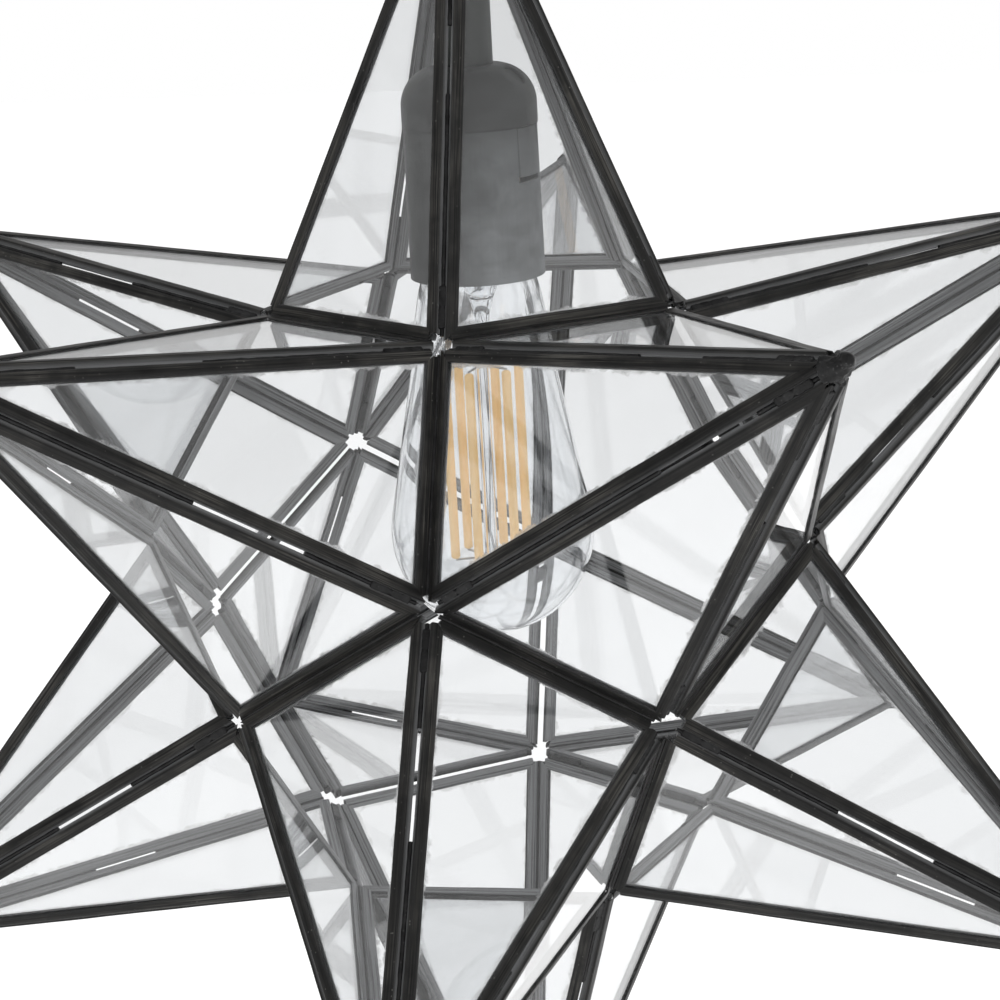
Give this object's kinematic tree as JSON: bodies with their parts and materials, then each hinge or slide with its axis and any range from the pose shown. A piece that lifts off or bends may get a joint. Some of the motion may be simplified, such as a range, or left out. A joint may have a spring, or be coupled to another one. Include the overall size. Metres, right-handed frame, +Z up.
{
  "type": "moravian star pendant light",
  "caption": "Hanging many-pointed star of clear glass panes in black came, with a screw-in filament bulb on its axis and a hinged point for reaching it.",
  "frame": {"origin": "centre of the hanging eye at the top", "axes": "+Z up along the star's axis, +Y along the eye's bore towards the back"},
  "size_m": [0.39, 0.4098, 0.4736],
  "materials": {
    "came": "black patina, satin, streaked",
    "pane_glass": "clear float glass",
    "solder": "black patina over solder, lumpy",
    "holder_plastic": "fine texture",
    "block_plastic": "moulded",
    "contact_metal": "plated",
    "insulator": "black glass",
    "bulb_glass": "clear thin glass",
    "filament": "phosphor coat",
    "wire": "drawn wire",
    "stem": "satin black",
    "black_fittings": "black patina"
  },
  "bodies": {
    "star": {"bottom_point_frame": "came", "bottom_point_glass": "pane_glass", "centre_contact": "contact_metal", "contact_block": "block_plastic", "hanging_loop": "black_fittings", "hinge_fixed_leaf": "black_fittings", "hinge_pin": "black_fittings", "holder_cap": "holder_plastic", "holder_skirt": "holder_plastic", "lock_nut": "black_fittings", "lower_point_1_frame": "came", "lower_point_1_glass": "pane_glass", "lower_point_2_frame": "came", "lower_point_2_glass": "pane_glass", "lower_point_3_frame": "came", "lower_point_3_glass": "pane_glass", "lower_point_4_frame": "came", "lower_point_4_glass": "pane_glass", "ridge_solder": "solder", "rod_nut": "black_fittings", "stem_tube": "stem", "terminal_screws": "contact_metal", "threaded_rod": "black_fittings", "threaded_shell": "contact_metal", "tip_solder": "solder", "top_cap": "black_fittings", "top_point_frame": "came", "top_point_glass": "pane_glass", "top_washer": "black_fittings", "upper_point_1_frame": "came", "upper_point_1_glass": "pane_glass", "upper_point_2_frame": "came", "upper_point_2_glass": "pane_glass", "upper_point_3_frame": "came", "upper_point_3_glass": "pane_glass", "upper_point_4_frame": "came", "upper_point_4_glass": "pane_glass", "upper_point_5_frame": "came", "upper_point_5_glass": "pane_glass", "valley_solder": "solder"},
    "service_point": {"service_point_frame": "came", "service_point_glass": "pane_glass", "service_point_solder": "solder", "service_catch": "black_fittings", "hinge_moving_leaf": "black_fittings"},
    "lock_tab": {"holder_lock_tab": "holder_plastic"},
    "bulb": {"bulb_envelope": "bulb_glass", "bulb_filaments": "filament", "bulb_insulator": "insulator", "bulb_screw_cap": "contact_metal", "bulb_stem": "bulb_glass", "bulb_support_wires": "wire", "bulb_tip_contact": "contact_metal"}
  },
  "joints": [
    {"name": "service_point_hinge", "type": "hinge", "parent": "star", "child": "service_point", "pos_m": [-0.08452, 0.02746, -0.28855], "axis": [-0.5, 0.1625, 0.8507], "range_deg": [0, 100]},
    {"name": "lock_tab_press", "type": "slide", "parent": "star", "child": "lock_tab", "axis": [-0.9397, 0.342, 0], "range_m": [0, 0.0008], "stiffness_N_per_m": 400},
    {"name": "bulb_turn", "type": "hinge", "parent": "star", "child": "bulb", "pos_m": [0, 0, -0.13962], "axis": [0, 0, 1], "range_deg": [-1080, 0]}
  ]
}
